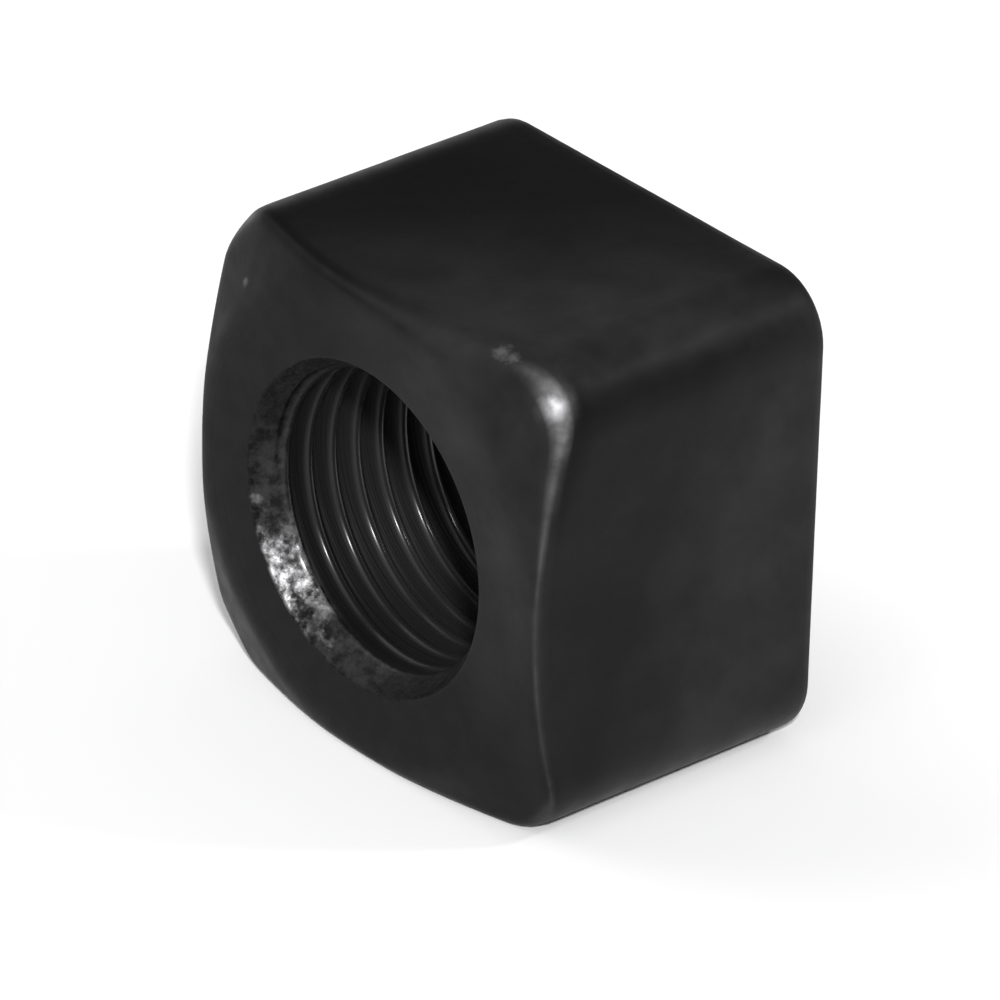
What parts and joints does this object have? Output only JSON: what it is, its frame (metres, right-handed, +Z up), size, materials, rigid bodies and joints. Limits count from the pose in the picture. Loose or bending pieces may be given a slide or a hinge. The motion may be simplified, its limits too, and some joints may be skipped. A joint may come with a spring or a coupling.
{
  "type": "square track nut",
  "caption": "Square forged steel nut with a fine threaded through hole and one bevelled bearing face, for bolting shoes to the links of a crawler track.",
  "frame": {"origin": "centre of the side that the nut stands on, halfway along the nut's height", "axes": "+Z up from the side that it stands on; the threaded hole's axis runs along Y, and the bevelled bearing face looks to -Y"},
  "size_m": [0.0238, 0.0172, 0.0238],
  "materials": {
    "blackened_steel": "black oxide on forged steel, lightly oiled, satin"
  },
  "bodies": {
    "root": {"track_nut": "blackened_steel"}
  },
  "joints": []
}
